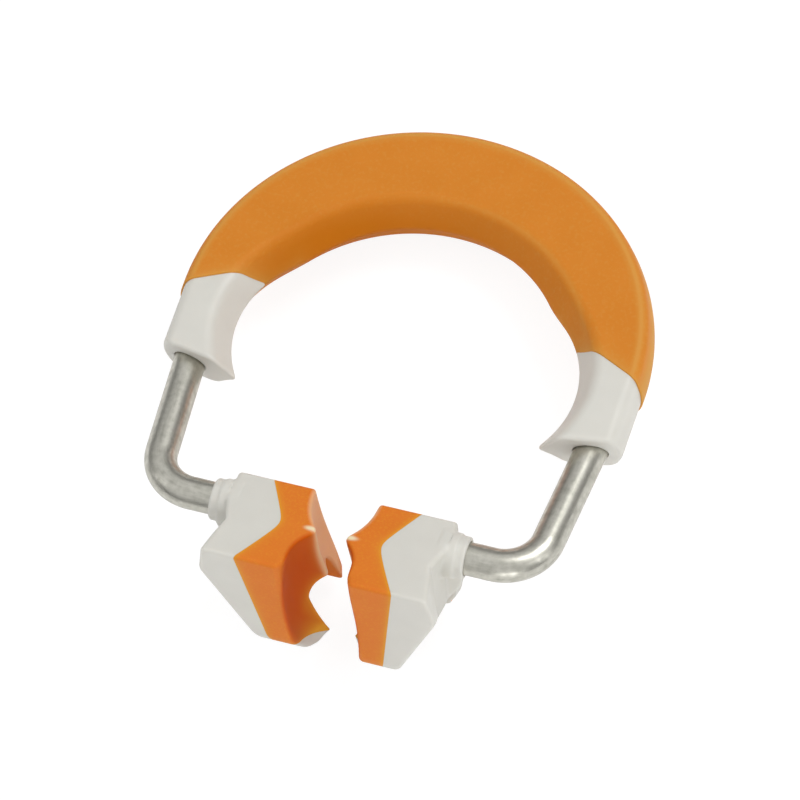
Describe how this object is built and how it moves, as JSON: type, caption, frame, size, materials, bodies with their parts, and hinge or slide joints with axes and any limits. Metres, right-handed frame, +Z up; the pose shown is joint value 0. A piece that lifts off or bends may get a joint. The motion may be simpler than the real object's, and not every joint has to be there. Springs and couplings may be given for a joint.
{
  "type": "sectional matrix ring",
  "caption": "Spring ring with soft-faced tips that clamps a dental matrix strip against neighbouring teeth, with a soft-covered band to hold it by.",
  "frame": {"origin": "middle of the footprint on the table the ring rests on", "axes": "+Z up from the table, +Y from the tips towards the crown of the band, +X towards the right-hand tip; the ring's own plane leans down towards +Y"},
  "size_m": [0.027, 0.0314, 0.0115],
  "materials": {
    "stainless_spring_wire": "bright drawn",
    "white_moulding": "satin moulded",
    "orange_cover": "fine matt",
    "orange_pad": "fine matt"
  },
  "bodies": {
    "root": {"spring_wire": "stainless_spring_wire", "band_core": "white_moulding", "band_cover": "orange_cover", "left_tip_body": "white_moulding", "left_tip_pad": "orange_pad", "right_tip_body": "white_moulding", "right_tip_pad": "orange_pad"}
  },
  "joints": []
}
